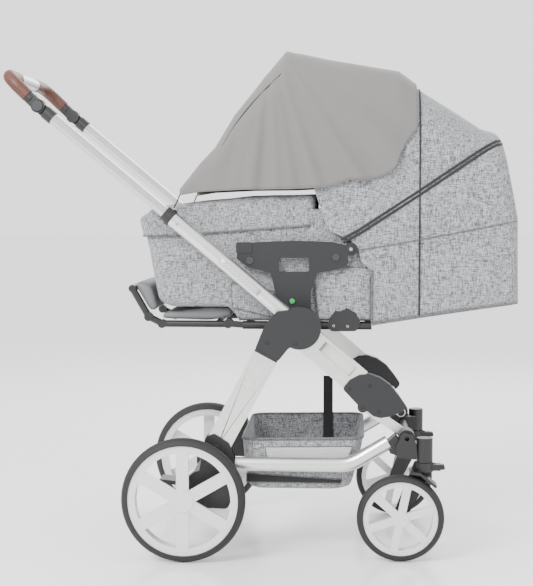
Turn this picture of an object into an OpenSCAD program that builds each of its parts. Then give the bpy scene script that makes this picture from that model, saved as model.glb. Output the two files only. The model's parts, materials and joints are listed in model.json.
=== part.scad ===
// Baby stroller: folding chassis with a carrycot seat unit.
// X runs forward from the handle to the swivel wheels, Y to the left, Z up from the floor.
// Plans are drawn in X and Z from the rear axle, for the right side, and mirrored for the left.

/* [Wheels] */
// Radius of a rear tyre
rear_r = 140; // [120:1:160]
// Width of a rear tyre
rear_w = 38; // [30:1:44]
// Rear wheel centre from the middle
rear_y = 277; // [270:1:290]
// Radius of a front tyre
front_r = 98; // [85:1:104]
// Width of a front tyre
front_w = 34; // [26:1:36]
// Front wheel centre from the middle
front_y = 241; // [238:1:250]
// Front axle ahead of the rear axle
wheelbase = 485; // [460:1:500]
// Front axle behind its swivel axis
trail = 54; // [45:1:65]

/* [Frame] */
// Diameter of the push tubes
push_d = 34; // [30:1:36]
// Wall of every round tube
tube_wall = 2; // [1.5:0.5:3]
// Diameter of the telescopic tubes
inner_d = 25; // [20:1:28]
// Push tubes from the middle
bar_y = 196; // [195:1:197]
// Length of the push tubes from the centre pivot
push_len = 379; // [330:1:440]
// Length of the telescopic tubes that shows
inner_show = 397; // [330:1:470]
// Travel of the telescopic tubes
slide_travel = 180; // [120:1:200]
// Diameter of the side rails
rail_d = 34; // [30:1:38]
// Side rails from the middle
rail_y = 212; // [210:1:214]
// Height of the level part of the rails
rail_z = 211; // [205:1:215]
// Width of a rear leg
leg_w = 57; // [45:1:60]
// Width of a front main tube
front_tube_w = 62; // [52:1:68]

/* [Handle] */
// Diameter of the grips
grip_d = 30; // [24:1:34]
// Crossbar from the tilt pivot
handle_len = 102; // [90:1:120]
// Half the width of the bare centre piece
handle_centre = 84; // [60:1:110]

/* [Seat] */
// Half the width of the carrycot
cot_half = 151; // [140:1:152]
// Wall of the carrycot
cot_wall = 8; // [5:1:12]
// Half the width of the hood
hood_half = 169; // [167:1:170]
// Thickness of the hood fabric
hood_wall = 6; // [4:1:6]
// Top of the hood
hood_top = 1150; // [1100:1:1180]

/* [Basket] */
// Half the width of the basket
basket_half = 194.6; // [150:0.2:194.6]
// Floor of the basket
basket_floor = 148; // [140:1:180]

/* [Hidden] */
$fn = 64;
gap = 0.4;
hood_back = 754;
push_angle = 40;
front_angle = 40.5;
leg_lean = 28.2;
handle_angle = 44;
push_dir = [-cos(push_angle), sin(push_angle)];
front_dir = [cos(front_angle), -sin(front_angle)];
leg_dir = [-sin(leg_lean), -cos(leg_lean)];
hinge = [258, 523];
leg_foot = [72, 254];
link_eye = [400, 342];
link_foot = [499, 275];
hood_pin = [372, 698];
rest_pin = [90, 525];
back_pin = [345, 541];
knuckle = hinge + (push_len + inner_show) * push_dir;
grip_end = knuckle + handle_len * [-cos(handle_angle), sin(handle_angle)];
handle_back = grip_end.x - grip_d / 2;
rear_axle_x = -(hood_back + handle_back) / 2;
swivel_x = wheelbase + trail;
swivel_y = 222;
hub_r = 42;
cover_r = 48;
leg_y = 214;
leg_t = 21;
plate_y = 166;
plate_t = 8;
axle_r = 6;
pin_r = 5;
running = 0.05;
bar_inner = bar_y - push_d / 2;
front_t = 20;
front_y0 = bar_y - front_t / 2;
shell_t = 28;
shell_y0 = bar_y - shell_t / 2;
link_y0 = 166;
link_t = 12;
frame_tube_r = 9.5;
frame_tube_y = 146;

function unit(v) = v / norm(v);
function turn(a) = a > 180 ? a - 360 : a < -180 ? a + 360 : a;
// One rounded corner at b, between its neighbours a and c
function corner(a, b, c, r, n) =
    let (u = unit(a - b), w = unit(c - b), half = acos(u * w) / 2,
        reach = min(r / tan(half), norm(a - b) / 2.1, norm(c - b) / 2.1),
        rr = reach * tan(half), mid = b + unit(u + w) * rr / sin(half),
        p = b + u * reach - mid, q = b + w * reach - mid,
        start = atan2(p.y, p.x), sweep = turn(atan2(q.y, q.x) - start))
    [for (i = [0:n]) mid + rr * [cos(start + sweep * i / n), sin(start + sweep * i / n)]];
function rounded(pts, r, n = 6) = [for (i = [0:len(pts) - 1])
    each corner(pts[(i + len(pts) - 1) % len(pts)], pts[i], pts[(i + 1) % len(pts)], r, n)];

// Moves a plan drawn from the rear axle to the model's origin
module at_axle() translate([rear_axle_x, 0, 0]) children();
// The left copy of a right-hand piece
module left() mirror([0, 1, 0]) children();
// A plate from y0 outwards on the right side, drawn in X and Z
module plate(y0, t) translate([0, -y0, 0]) rotate([90, 0, 0]) linear_extrude(t) children();
// A plate that is centred on the middle plane
module wide(half) plate(-half, 2 * half) children();
// A rod along Y from y0 outwards on the right side
module rod(p, y0, len, r) translate([p.x, -y0, p.y]) rotate([90, 0, 0]) cylinder(h = len, r = r);
// A round bar between two points in X and Z at one distance from the middle
module bar(p, q, y, r) translate([p.x, -y, p.y])
    rotate([0, 90 - atan2(q.y - p.y, q.x - p.x), 0]) cylinder(h = norm(q - p), r = r);
// A flat bar in X and Z, as wide as w
module flat(p, q, w) translate(p) rotate(atan2(q.y - p.y, q.x - p.x))
    translate([0, -w / 2]) square([norm(q - p), w]);
// A hollow tube between two points
module pipe(p, q, y, r, bore) difference() {
    bar(p, q, y, r);
    bar(p - unit(q - p), q + unit(q - p), y, bore);
}

// ---- chassis ----
rail_bend = 345;
rail_rise = 31;
rail_bend_r = 90;
rail_start = 112.2;
rail_end = 78;
// The bend is drawn this much thicker, and the straight lengths run this far into it
bend_swell = 0.25;
bend_lap = 2;
module side_rail() color("gainsboro") at_axle() translate([0, -rail_y, rail_z]) {
    translate([rail_start, 0, 0]) rotate([0, 90, 0])
        cylinder(h = rail_bend + bend_lap - rail_start, r = rail_d / 2);
    translate([rail_bend, 0, rail_bend_r]) rotate([90, 0, 0]) rotate([0, 0, -90])
        rotate_extrude(angle = rail_rise) translate([rail_bend_r, 0]) circle(r = rail_d / 2 + bend_swell);
    translate([rail_bend + rail_bend_r * sin(rail_rise), 0, rail_bend_r * (1 - cos(rail_rise))])
        rotate([0, 90 - rail_rise, 0]) translate([0, 0, -bend_lap])
            cylinder(h = rail_end + bend_lap, r = rail_d / 2);
}
module side_rail_right() side_rail();
module side_rail_left() left() side_rail();

module rear_axle() color("dimgray") at_axle() {
    rod([0, rear_r], -rear_y - 14, 2 * rear_y + 28, axle_r);
    difference() {
        rod([0, rear_r], -200, 400, 13);
        rod([0, rear_r], -201, 402, axle_r);
    }
}
module rear_bracket() color("#222222") at_axle() difference() {
    union() {
        plate(200, 40) polygon(rounded([[-24, 128], [-22, 160], [20, 196], [112, 222], [112, 150], [96, 112],
            [40, 116]], 12));
        plate(205, leg_y - 205 - gap) leg_cheek();
        plate(leg_y + leg_t + gap, 4) leg_cheek();
        rod(leg_foot, 206, 32, pin_r);
    }
    rod([0, rear_r], 190, 60, 13 + gap);
    rod(leg_foot, leg_y - gap, leg_t + 2 * gap, leg_w / 2 + 4);
}
module leg_cheek() polygon(rounded([[30, 190], [46, 276], [66, 284], [100, 262], [112, 228], [112, 180]], 10));
module rear_bracket_whole() {
    rear_bracket();
    color("#222222") at_axle() rod(leg_foot, leg_y - 1, leg_t + 2, pin_r);
}
module rear_bracket_right() rear_bracket_whole();
module rear_bracket_left() left() rear_bracket_whole();

housing_z = [222.5, 277];
module front_bracket() color("#222222") at_axle() difference() {
    union() {
        translate([swivel_x, -swivel_y, housing_z[0]]) cylinder(h = housing_z[1] - housing_z[0], r = 18);
        plate(link_y0 + link_t + gap, swivel_y - link_y0 - link_t - gap) union() {
            translate(link_foot) circle(r = 18.5);
            polygon([[486, 262], [512, 262], [swivel_x, 262], [swivel_x, 228], [486, 232], [462, 240], [452, 262],
                [474, 282]]);
        }
        plate(rail_y - 4, 24) polygon(rounded([[474, 256], [490, 290], [512, 284], [520, 262], [524, 228],
            [478, 232]], 6));
    }
    translate([swivel_x, -swivel_y, 200]) cylinder(h = 70, r = 8 + running);
    rod(link_foot, 150, 100, pin_r);
    translate([0, -rail_y, rail_z]) translate([rail_bend + rail_bend_r * sin(rail_rise), 0,
        rail_bend_r * (1 - cos(rail_rise))]) rotate([0, 90 - rail_rise, 0])
        translate([0, 0, -10]) cylinder(h = 88, r = rail_d / 2);
    rod([505, 248], 170, 30, 10);
}
module front_bracket_whole() {
    front_bracket();
    color("#222222") at_axle() rod(link_foot, link_y0 - 3, 55, pin_r);
    color("#222222") at_axle() rod(link_foot, link_y0 - 3, 2.6, 9);
}
module front_bracket_right() front_bracket_whole();
module front_bracket_left() left() front_bracket_whole();
module front_cross_tube() color("dimgray") at_axle() difference() {
    rod([505, 248], -200, 400, 10);
    rod([505, 248], -201, 402, 8);
}

basket_front = [404, 266];
module basket_plan(d) polygon(rounded([[122 + d, 266 + d * 3], [basket_front.x - d, 270 + d * 3],
    [372 - d, basket_floor + d], [138 + d, basket_floor + d]], 10));
module basket() color("darkgray") at_axle() difference() {
    union() {
        wide(basket_half) basket_plan(0);
        for (s = [1, -1], x = [150, 330]) translate([x, s * (basket_half - 2), rail_z]) rotate([s * -90, 0, 0])
            cylinder(h = rail_y - rail_d / 2 - basket_half + 1.8, r = 6);
    }
    wide(basket_half - 5) basket_plan(5);
}
module basket_strap() color("#1a1a1a") at_axle() translate([303, basket_half - 8.2, 180]) {
    cube([24, 3, 184]);
}

// ---- folding frame ----
leg_top = leg_foot - leg_dir * 238;
module rear_leg() color("gainsboro") at_axle() difference() {
    plate(leg_y, leg_t) union() {
        flat(leg_foot, leg_top, leg_w);
        translate(leg_foot) circle(r = leg_w / 2);
    }
    plate(leg_y + tube_wall, leg_t - 2 * tube_wall) flat(leg_foot - leg_dir * 30, leg_top, leg_w - 2 * tube_wall);
    rod(leg_foot, leg_y - 1, leg_t + 2, pin_r + running);
}
module rear_leg_right() rear_leg();
module rear_leg_left() left() rear_leg();

cover_t = 5;
module hinge_cover() color("#2b2b2d") at_axle() difference() {
    union() {
        plate(leg_y, leg_t + cover_t) difference() {
            union() {
                translate(hinge) circle(r = cover_r);
                polygon(rounded([leg_top + [-27, 10], leg_top + [23, -18], [232, 476], [300, 523], [268, 566],
                    [207, 560], [180, 530]], 9));
            }
            flat(leg_foot, leg_top - leg_dir * gap, leg_w + 8);
        }
        plate(leg_y + leg_t, cover_t) flat(leg_top, leg_top + leg_dir * 6, leg_w);
        rod(hinge, bar_y - 14, leg_y - bar_y + 15, 8);
    }
    for (p = [[186, 491], [248, 489]]) rod(p, leg_y + leg_t + cover_t - 2, 4, 4.5);
}
module hinge_cover_right() hinge_cover();
module hinge_cover_left() left() hinge_cover();

module centre_hub() color("#2b2b2d") at_axle() difference() {
    union() {
        rod(hinge, bar_inner, push_d, hub_r);
        plate(plate_y - 3.4, 3) polygon([[204, 514], [204, 498], [277, 498], [277, 514]]);
        plate(plate_y - 3.4, bar_inner - plate_y + 3.5) polygon([[204, 498], [277, 498], [277, 511.6], [204, 511.6]]);
        plate(plate_y + plate_t + gap, 3) polygon([[204, 498], [277, 498], [277, 545], [204, 545]]);
        rod(hinge, plate_y + plate_t + gap, bar_inner - plate_y - plate_t + 1, 24);
    }
    rod(hinge, bar_y - 15, 60, 8 + running);
}
module centre_hub_right() centre_hub();
module centre_hub_left() left() centre_hub();

front_axis = hinge + [0, -13];
front_cut = front_axis + front_dir * 174;
module front_tube() color("gainsboro") at_axle() difference() {
    plate(front_y0, front_t) flat(front_axis + front_dir * 10, front_cut, front_tube_w);
    plate(front_y0 + tube_wall, front_t - 2 * tube_wall) union() {
        flat(front_axis, front_cut + front_dir, front_tube_w - 2 * tube_wall);
    }
    rod(hinge, bar_inner - 1, push_d + 2, hub_r);
}
module front_tube_right() front_tube();
module front_tube_left() left() front_tube();

shell_plan = [[354, 384], [370, 404], [392, 416], [414, 418], [438, 410], [462, 393], [482, 368], [498, 345],
    [490, 334], [464, 322], [440, 318], [424, 322], [412, 332], [390, 346]];
module fold_shell() color("#2b2b2d") at_axle() difference() {
    union() {
        plate(shell_y0, shell_t) polygon(rounded(shell_plan, 8, 4));
        rod(link_eye, shell_y0, shell_t, 12);
    }
    plate(front_y0, front_t) flat(front_axis, front_cut, front_tube_w);
    for (p = [[370, 383], [416, 391], [436, 333]]) rod(p, shell_y0 + shell_t - 2, 4, 4);
    rod(link_eye, shell_y0 + shell_t - 2, 4, 4);
}
module fold_shell_right() fold_shell();
module fold_shell_left() left() fold_shell();

push_top = hinge + push_dir * push_len;
insert_at = hinge + push_dir * 361;
insert_r = 2.5;
module push_tube() color("gainsboro") at_axle() difference() {
    union() {
        bar(hinge + push_dir * 20, push_top, bar_y, push_d / 2);
        rod(insert_at, bar_y + 10, push_d / 2 - 8, 6);
    }
    bar(hinge, push_top + push_dir, bar_y, push_d / 2 - tube_wall);
    rod(hinge, bar_inner - 1, push_d + 2, hub_r);
    rod(insert_at, bar_y + 5, 20, insert_r);
}
module push_tube_right() push_tube();
module push_tube_left() left() push_tube();
module collar() {
    pipe(push_top, push_top + push_dir * 10, bar_y, 20, inner_d / 2 + gap);
    pipe(push_top + push_dir * 10, push_top + push_dir * 22, bar_y, 17.5, inner_d / 2 + gap);
}
module tube_collars() color("#1a1a1a") at_axle() {
    collar();
    left() collar();
}

module front_link() difference() {
    plate(link_y0, link_t) union() {
        flat(link_eye, link_foot, 21);
        translate(link_eye) circle(r = 11);
        translate(link_foot) circle(r = 12);
        polygon(rounded([[404, 336], [420, 350], [452, 352], [482, 340], [486, 326], [452, 312], [428, 314]], 8, 4));
    }
    rod(link_foot, link_y0 - 1, link_t + 2, pin_r + running);
}
module front_links() color("silver") at_axle() {
    front_link();
    left() front_link();
}

inner_low = hinge + push_dir * (push_len - 150);
module inner_tube() color("silver") at_axle()
    pipe(inner_low, knuckle - push_dir * 30, bar_y, inner_d / 2, inner_d / 2 - tube_wall);
module inner_tube_right() inner_tube();
module inner_tube_left() left() inner_tube();
module knuckle_base() {
    difference() {
        union() {
            bar(knuckle - push_dir * 44, knuckle - push_dir * 20, bar_y, inner_d / 2 + 3);
            plate(bar_y - 5, 10) flat(knuckle - push_dir * 30, knuckle, 26);
            rod(knuckle, bar_y - 5, 10, 15);
        }
        bar(knuckle - push_dir * 60, knuckle - push_dir * 30, bar_y, inner_d / 2);
        rod(knuckle, bar_y - 6, 12, pin_r + running);
    }
}
module knuckle_bases() color("#1a1a1a") at_axle() {
    knuckle_base();
    left() knuckle_base();
}

// ---- handle: drawn flat with its arms along -X from the tilt pivots, then tilted ----
corner_r = 42;
module tilted() translate([knuckle.x, 0, knuckle.y]) rotate([0, handle_angle, 0]) children();
module handlebar_side() {
    difference() {
        union() {
            for (y = [bar_y - 11, bar_y + 5 + gap]) rod([0, 0], y, 6 - gap, 16);
            for (y = [bar_y - 11, bar_y + 5 + gap]) translate([-30, -y - 6 + gap, -13]) cube([30, 6 - gap, 26]);
            translate([-34, -bar_y, 0]) rotate([0, 90, 0]) cylinder(h = 12, r = 14);
        }
        rod([0, 0], bar_y - 6, 12, 18);
        rod([0, 0], bar_y + 7, 6, 12.5);
    }
    rod([0, 0], bar_y - 8, 15, pin_r);
}
module handlebar() color("#1a1a1a") at_axle() tilted() {
    handlebar_side();
    left() handlebar_side();
}
module grip() color("saddlebrown") at_axle() tilted() {
    translate([-34, -bar_y, 0]) rotate([0, -90, 0]) cylinder(h = handle_len - corner_r - 34, r = grip_d / 2);
    translate([-handle_len + corner_r, -bar_y + corner_r, 0]) rotate([0, 0, 180])
        rotate_extrude(angle = 90) translate([corner_r, 0]) circle(r = grip_d / 2);
    translate([-handle_len, -bar_y + corner_r, 0]) rotate([-90, 0, 0])
        cylinder(h = bar_y - corner_r - handle_centre, r = grip_d / 2);
}
module grip_right() grip();
module grip_left() left() grip();
module handlebar_centre() color("silver") at_axle() tilted()
    translate([-handle_len, -handle_centre, 0]) rotate([-90, 0, 0]) cylinder(h = 2 * handle_centre, r = grip_d / 2 - 1);
module tilt_button() color("#333333") at_axle() rod(knuckle, bar_y + 9 + gap, 4.6, 12);
module tilt_button_right() tilt_button();
module tilt_button_left() left() tilt_button();

// ---- wheels ----
module tyre(r, w) rotate_extrude($fn = 96) intersection() {
    translate([r - w / 2, 0]) circle(r = w / 2);
    translate([r - w * 0.43, -w]) square([w, 2 * w]);
}
module rim(r, w, ring, hub, spoke, axle, turned) difference() {
    union() {
        difference() {
            translate([0, 0, -w * 0.4]) cylinder(h = w * 0.8, r = r, $fn = 96);
            translate([0, 0, -w]) cylinder(h = 2 * w, r = r - ring, $fn = 96);
        }
        translate([0, 0, -w * 0.5]) cylinder(h = w, r = hub * 0.8);
        translate([0, 0, w * 0.25]) cylinder(h = w * 0.27, r = hub);
        translate([0, 0, w * 0.2]) linear_extrude(w * 0.24) for (a = [0:60:120]) rotate(a + turned)
            square([2 * (r - ring * 0.55), spoke], center = true);
    }
    translate([0, 0, -w]) cylinder(h = w * 1.4, r = axle + running);
}
module rear_wheel_at() at_axle() translate([0, -rear_y, rear_r]) rotate([90, 0, 0]) children();
module front_wheel_at() at_axle() translate([wheelbase, -front_y, front_r]) rotate([90, 0, 0]) children();
rear_rim_r = rear_r - rear_w * 0.43;
front_rim_r = front_r - front_w * 0.43;
module rear_tyre_right() color("#2a2a2c") rear_wheel_at() tyre(rear_r, rear_w);
module rear_tyre_left() color("#2a2a2c") left() rear_wheel_at() tyre(rear_r, rear_w);
module rear_rim_right() color("whitesmoke") rear_wheel_at() rim(rear_rim_r, rear_w, 16.5, 24.3, 28, axle_r, 90);
module rear_rim_left() left() rear_rim_right();
module front_tyre_right() color("#2a2a2c") front_wheel_at() tyre(front_r, front_w);
module front_tyre_left() color("#2a2a2c") left() front_wheel_at() tyre(front_r, front_w);
module front_rim_right() color("whitesmoke") front_wheel_at()
    rim(front_rim_r, front_w, 12, 17.3, 18, pin_r, 18);
module front_rim_left() left() front_rim_right();

crown_z = 221.5;
lock_pin = [swivel_x + 28, 211];
arm_y = swivel_y - 18;
module fork() color("#222222") at_axle() {
    translate([swivel_x, -swivel_y, crown_z - 6]) cylinder(h = 50, r = 8);
    translate([swivel_x, -swivel_y, crown_z - 20]) cylinder(h = 20, r = 20);
    plate(arm_y, 11) union() {
        polygon(rounded([[swivel_x - 22, crown_z], [swivel_x + 20, crown_z], [swivel_x + 16, crown_z - 24],
            [wheelbase + 14, front_r - 8], [wheelbase - 12, front_r - 10], [wheelbase - 10, front_r + 16]], 7));
        translate([wheelbase, front_r]) circle(r = 15);
    }
    rod([wheelbase, front_r], arm_y + 10, front_y - arm_y, pin_r);
    for (y = [swivel_y - 12, swivel_y + 8 + gap]) plate(y, 4 - gap) translate([swivel_x, 0])
        polygon([[13, 204], [35, 204], [35, 218], [13, 218]]);
    rod(lock_pin, swivel_y - 10, 20, 2.5);
    plate(arm_y, 50) translate([swivel_x, 0])
        polygon([[-34, 205], [-9, 202], [27, 172], [23, 168], [-11, 196], [-34, 199]]);
}
module fork_right() fork();
module fork_left() left() fork();
module swivel_lock() color("#333333") at_axle() difference() {
    plate(swivel_y - 8, 16) translate([swivel_x, 0])
        polygon(rounded([[23, 205], [23, 218], [44, 217], [46, 206]], 3));
    rod(lock_pin, swivel_y - 9, 18, 2.5 + running);
}
module swivel_lock_right() swivel_lock();
module swivel_lock_left() left() swivel_lock();

module brake_pedal() color("#333333") at_axle() difference() {
    union() {
        rod([0, rear_r], 96, 60, 18);
        plate(96, 60) polygon(rounded([[-10, rear_r + 6], [-10, rear_r + 16], [-70, rear_r + 22], [-74, rear_r + 14]], 3));
    }
    rod([0, rear_r], 95, 62, 13 + running);
}

// ---- seat unit ----
plate_plan = [[111, 676], [116, 706], [150, 713], [244, 717], [330, 714], [364, 706], [366, 664], [345, 652],
    [296, 644], [281, 600], [281, 512], [200, 512], [200, 600], [190, 642], [165, 650], [140, 655]];
button_at = [142, 672];
button_far = [338, 680];
module side_plate() color("#2b2b2d") at_axle() difference() {
    union() {
        plate(plate_y, plate_t) polygon(rounded(plate_plan, 9));
        rod(hood_pin, plate_y, plate_t, 15);
        plate(plate_y, plate_t) flat(hood_pin - [20, 10], hood_pin, 20);
        plate(plate_y, plate_t + 2) polygon(rounded([[111, 688], [111, 713], [147, 713], [147, 688]], 4));
        for (x = [216, 265]) rod([x, 522], frame_tube_y + frame_tube_r - 2, plate_y - frame_tube_y - frame_tube_r + 2.5, 7);
    }
    plate(plate_y - 1, plate_t + 4) polygon(rounded([[208, 646], [208, 678], [277, 678], [277, 646]], 5));
    for (p = [button_at, button_far]) rod(p, plate_y + 3, 10, 9.5);
    rod([239, 579], plate_y + plate_t - 1.5, 4, 9);
    rod(hood_pin, plate_y - 1, plate_t + 2, 4 + running);
    bar([100, 522], [430, 522], frame_tube_y, frame_tube_r);
}
module side_plate_right() side_plate();
module side_plate_left() left() side_plate();
module release_button() color("#3c3c3e") at_axle() for (p = [button_at, button_far]) rod(p, plate_y + 5, 5, 9);
module release_button_right() release_button();
module release_button_left() left() release_button();

frame_z = 522;
cam_plan = [[318, 518], [322, 536], [338, 560], [360, 565], [384, 552], [394, 530], [386, 510], [330, 509]];
module seat_frame() color("#1c1c1c") at_axle() {
    for (s = [0, 1]) mirror([0, s, 0]) {
        bar([124, frame_z], [420, frame_z], frame_tube_y, frame_tube_r);
        plate(frame_tube_y + frame_tube_r - 3, 7) polygon(rounded(cam_plan, 10));
        rod(rest_pin, 134, 16, 11);
        plate(139, 12) flat(rest_pin, [128, frame_z], 14);
    }
    for (x = [134, 412]) rod([x, frame_z], -frame_tube_y, 2 * frame_tube_y, frame_tube_r - 1.5);
}
foot_z = 522;
module footrest_frame() color("#1c1c1c") at_axle() {
    for (s = [0, 1]) mirror([0, s, 0]) {
        bar([-66, foot_z], [84, foot_z], 122, 8);
        bar([-66, foot_z], [-98, 538], 122, 8);
        bar([-98, 538], [-136, 604], 122, 8);
        for (p = [[-66, foot_z], [-98, 538]]) rod(p, 112, 20, 10);
        rod(rest_pin, 118, 15.6, 11);
    }
    rod([-136, 604], -129, 258, 8.5);
    rod([60, foot_z], -122, 244, 6);
}
module footrest_pad() color("#303030") at_axle() {
    wide(122) polygon(rounded([[-76, 534], [-62, 548], [40, 562], [98, 560], [98, 538], [40, 530.4]], 5));
    wide(124) polygon(rounded([[-132.2, 615.4], [-120, 621], [-93, 612], [-85, 588], [-78, 560], [-84, 549],
        [-97.2, 554.6]], 6));
}
module seat_pad() color("gray") at_axle() wide(136) polygon(rounded([[117, 541], [117, 574], [322, 574], [322, 541]], 10));
module backrest() color("gray") at_axle() wide(136)
    polygon(rounded([[348, 541], [348, 574], [436, 576], [706, 622], [711, 590], [440, 542]], 8));

cot_plan = [[-112, 765], [-92, 690], [-75, 582], [-58, 563.5], [100, 563.5], [112, 531.7], [440, 531.7],
    [736, 583], [733, 790], [-2, 790]];
cot_room = [[-102, 800], [-83, 690], [-66, 588], [-52, 572], [104, 572], [116, 540.5], [438, 540.5], [727, 591],
    [725, 800]];
module carrycot() color("darkgray") at_axle() difference() {
    wide(cot_half) polygon(rounded(cot_plan, 10, 3));
    wide(cot_half - cot_wall) polygon(rounded(cot_room, 8, 3));
}
module foot_apron() color("darkgray") at_axle() difference() {
    wide(cot_half + 4) polygon(rounded([[-117, 775], [-104, 728], [-15, 726], [43, 733], [284, 752], [282, 819],
        [140, 816], [-2, 802], [-60, 794]], 6, 3));
    wide(cot_half + gap) polygon([[-113, 768], [-103, 720], [300, 720], [300, 796], [-2, 796]]);
}

// An arch across the stroller at x, as high as top
module arch(x, top, half, r) translate([x, 0, 0]) rotate([90, 0, 90]) linear_extrude(0.01)
    polygon(concat([[-half, 500], [half, 500]],
        [for (a = [0:15:90]) [half - r + r * cos(a), top - r + r * sin(a)]],
        [for (a = [90:15:180]) [-half + r + r * cos(a), top - r + r * sin(a)]]));
// The hood's body through its arches, larger by grow all round
arches = [[-20, 840, 40], [222, hood_top, 95], [538, 1056, 90], [hood_back, 950, 70]];
module canopy(first, last, grow) for (i = [first:last - 1]) hull() for (k = [i, i + 1])
    arch(arches[k][0], arches[k][1] + grow, hood_half + grow, arches[k][2]);
hood_plan = [[306, 742], [286, 835], [258, 950], [234, 1080], [222, 1160], [350, 1124], [538, 1058], [665, 976],
    [702, 967], [718, 945], [748, 770], [754, 576], [540, 543], [418, 524], [418, 650], [392, 668], [392, 716], [340, 722]];
hood_room = [[200, 640], [200, 1170], [350, 1114], [538, 1048], [664, 968], [698, 958], [710, 942], [740, 770],
    [746, 581], [540, 549], [400, 500]];
module hood() color("silver") at_axle() intersection() {
    wide(300) polygon(hood_plan);
    difference() {
        canopy(1, 3, 0);
        intersection() {
            canopy(1, 3, -hood_wall);
            wide(300) polygon(hood_room);
        }
    }
}
bow_len = 440;
bow_angle = 109;
bow_half = 157;
bow_r = 5;
bow_corner = 80;
module hood_bow() color("#1c1c1c") at_axle() {
    translate([hood_pin.x, 0, hood_pin.y]) rotate([0, -bow_angle, 0]) {
        for (s = [0, 1]) mirror([0, s, 0]) {
            translate([0, -bow_half, 0]) rotate([0, 90, 0]) cylinder(h = bow_len - bow_corner, r = bow_r);
            translate([bow_len - bow_corner, -bow_half + bow_corner, 0]) rotate([0, 0, -90])
                rotate_extrude(angle = 90) translate([bow_corner, 0]) circle(r = bow_r);
            translate([0, -bow_half + 5, 0]) rotate([90, 0, 0]) cylinder(h = 13.6, r = 9);
            translate([0, -bow_half - 8, 0]) rotate([90, 0, 0]) cylinder(h = 12, r = 4);
        }
        translate([bow_len, -bow_half + bow_corner, 0]) rotate([-90, 0, 0])
            cylinder(h = 2 * (bow_half - bow_corner), r = bow_r);
    }
}
sail_plan = [[-18, 822], [60, 926], [103, 1001], [171, 1090], [216, 1160], [350, 1130], [519, 1090], [519, 975],
    [491, 939], [470, 881], [414, 858], [318, 840], [234, 836], [29, 832]];
module sun_sail() color("darkgray") at_axle() intersection() {
    wide(300) polygon(sail_plan);
    difference() {
        canopy(0, 2, 3.4);
        canopy(0, 2, 0.8);
    }
}

side_rail_right();
side_rail_left();
rear_axle();
rear_bracket_right();
rear_bracket_left();
front_bracket_right();
front_bracket_left();
front_cross_tube();
basket();
basket_strap();
rear_leg_right();
rear_leg_left();
hinge_cover_right();
hinge_cover_left();
centre_hub_right();
centre_hub_left();
front_tube_right();
front_tube_left();
fold_shell_right();
fold_shell_left();
push_tube_right();
push_tube_left();
tube_collars();
front_links();
inner_tube_right();
inner_tube_left();
knuckle_bases();
handlebar();
grip_right();
grip_left();
handlebar_centre();
tilt_button_right();
tilt_button_left();
rear_tyre_right();
rear_rim_right();
rear_tyre_left();
rear_rim_left();
front_tyre_right();
front_rim_right();
front_tyre_left();
front_rim_left();
fork_right();
fork_left();
swivel_lock_right();
swivel_lock_left();
brake_pedal();
side_plate_right();
side_plate_left();
release_button_right();
release_button_left();
seat_frame();
footrest_frame();
footrest_pad();
seat_pad();
backrest();
carrycot();
foot_apron();
hood();
hood_bow();
sun_sail();
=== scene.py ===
"""A folding baby stroller with a carrycot seat unit: its cloth, trim, finishes, stage and camera."""

import json
import logging
import math
from collections.abc import Callable, Sequence
from dataclasses import dataclass, field
from enum import Enum

import bmesh
import bpy
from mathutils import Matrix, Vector, noise


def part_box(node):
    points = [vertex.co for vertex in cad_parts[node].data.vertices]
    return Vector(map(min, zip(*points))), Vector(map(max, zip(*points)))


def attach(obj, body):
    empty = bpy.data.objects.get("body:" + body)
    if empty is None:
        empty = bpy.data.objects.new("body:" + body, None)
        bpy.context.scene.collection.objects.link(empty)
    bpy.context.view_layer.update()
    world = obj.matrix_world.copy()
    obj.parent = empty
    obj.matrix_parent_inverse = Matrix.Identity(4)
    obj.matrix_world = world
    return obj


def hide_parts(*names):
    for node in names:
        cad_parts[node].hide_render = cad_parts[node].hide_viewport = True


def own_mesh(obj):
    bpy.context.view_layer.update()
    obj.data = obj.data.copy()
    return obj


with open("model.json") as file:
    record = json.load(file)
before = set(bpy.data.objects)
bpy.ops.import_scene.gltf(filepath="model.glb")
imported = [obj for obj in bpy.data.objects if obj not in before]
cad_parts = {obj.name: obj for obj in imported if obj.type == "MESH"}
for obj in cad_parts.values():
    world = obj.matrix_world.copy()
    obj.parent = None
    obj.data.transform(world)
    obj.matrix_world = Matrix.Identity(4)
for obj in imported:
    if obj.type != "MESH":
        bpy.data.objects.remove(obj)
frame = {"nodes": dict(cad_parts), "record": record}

logging.basicConfig(level=logging.INFO, format="%(message)s")
LOG = logging.getLogger("stroller")

Point = Callable[[float, float], Vector]
Curve = Sequence[tuple[float, float]]
MM = 0.001
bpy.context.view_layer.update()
# The CAD drawings measure X from the rear axle, so this is where that axle lies in the frame.
AXLE_X = (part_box("rear_tyre_right")[0].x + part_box("rear_tyre_right")[1].x) / 2


def at(x: float, y: float, z: float) -> Vector:
    """A point in metres from millimetres ahead of the rear axle, left of the middle and above the floor.

    Args:
        x: Ahead of the rear axle.
        y: Left of the middle.
        z: Above the floor.

    Returns:
        The point in the frame.
    """
    return Vector((AXLE_X + x * MM, y * MM, z * MM))


def along(curve: Curve, x: float) -> float:
    """Reads a height or width off a curve given as points.

    Args:
        curve: Points in rising order of their first number.
        x: Where to read it.

    Returns:
        The curve's value at x, joined by straight lines and level past its ends.
    """
    if x <= curve[0][0]:
        return curve[0][1]
    for (x0, y0), (x1, y1) in zip(curve, curve[1:]):
        if x <= x1:
            return y0 + (y1 - y0) * (x - x0) / (x1 - x0)
    return curve[-1][1]


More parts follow.
